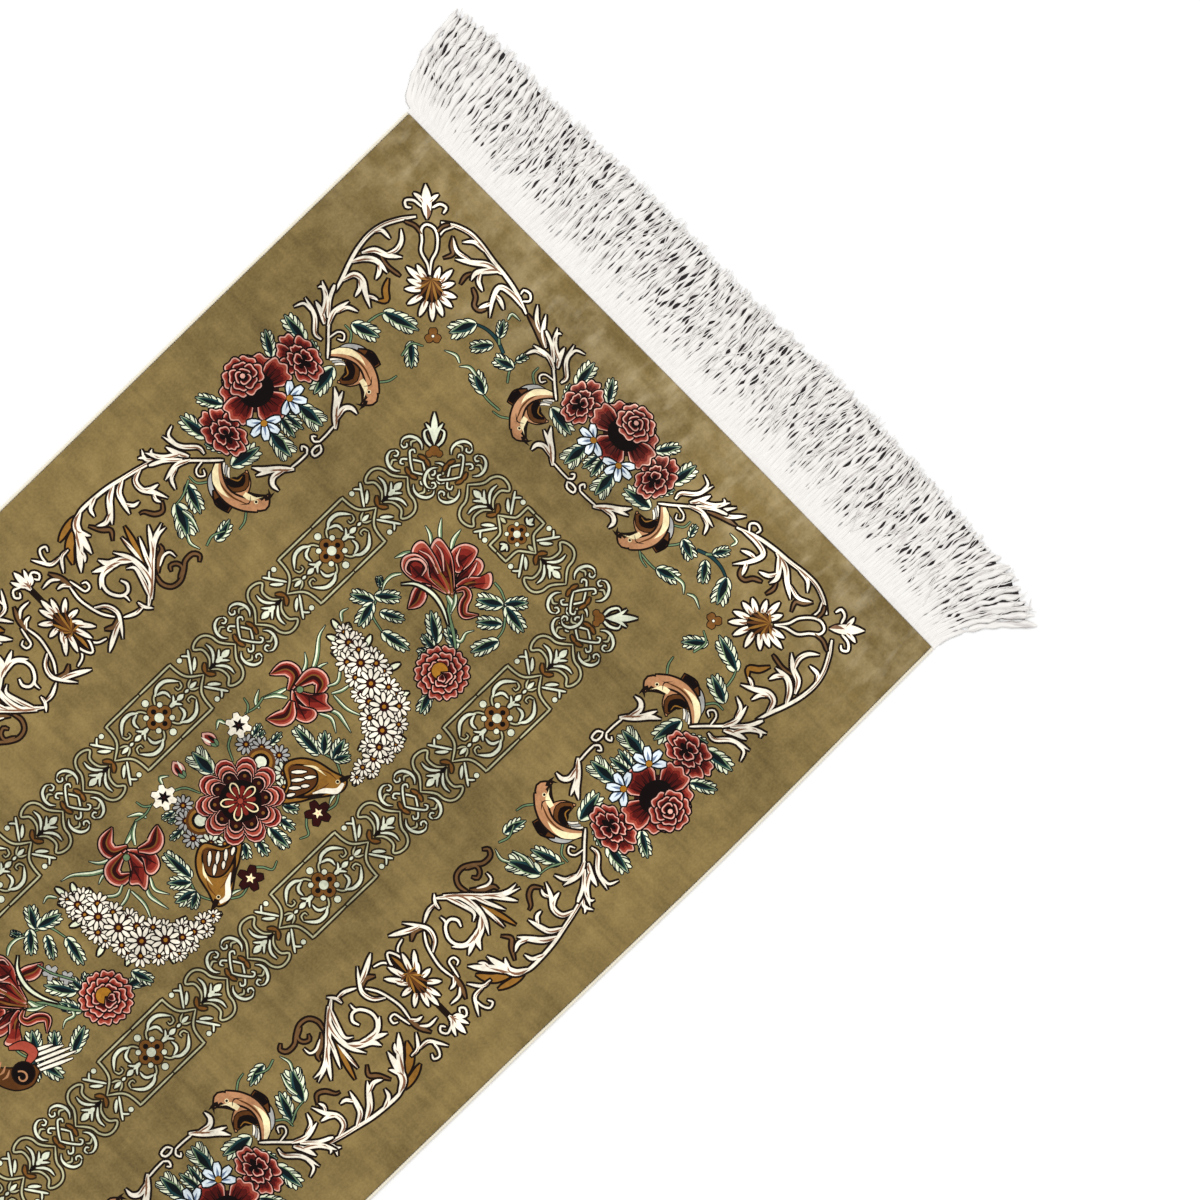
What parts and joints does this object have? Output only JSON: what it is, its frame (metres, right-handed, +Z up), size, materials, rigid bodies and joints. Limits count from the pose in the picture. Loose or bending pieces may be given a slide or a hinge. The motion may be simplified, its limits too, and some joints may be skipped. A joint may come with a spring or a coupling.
{
  "type": "silk runner rug",
  "caption": "Flat knotted silk runner with a pictorial flower border, whipped sides and a long netted white fringe at both ends.",
  "frame": {"origin": "middle of the rug's underside, on the floor", "axes": "+Z up from the floor through the pile, +Y along the rug's length towards the end shown in the picture, +X across its width"},
  "size_m": [0.8688, 2.6504, 0.004],
  "materials": {
    "silk_pile": "low cut silk pile with a soft sheen, olive gold ground with coloured flowers",
    "cream_silk": "whipped cream silk",
    "white_silk": "white plain-woven strip and netted warp threads"
  },
  "bodies": {
    "root": {"pile": "silk_pile", "selvedge_left": "cream_silk", "selvedge_right": "cream_silk", "fringe_near": "white_silk", "fringe_far": "white_silk"}
  },
  "joints": []
}
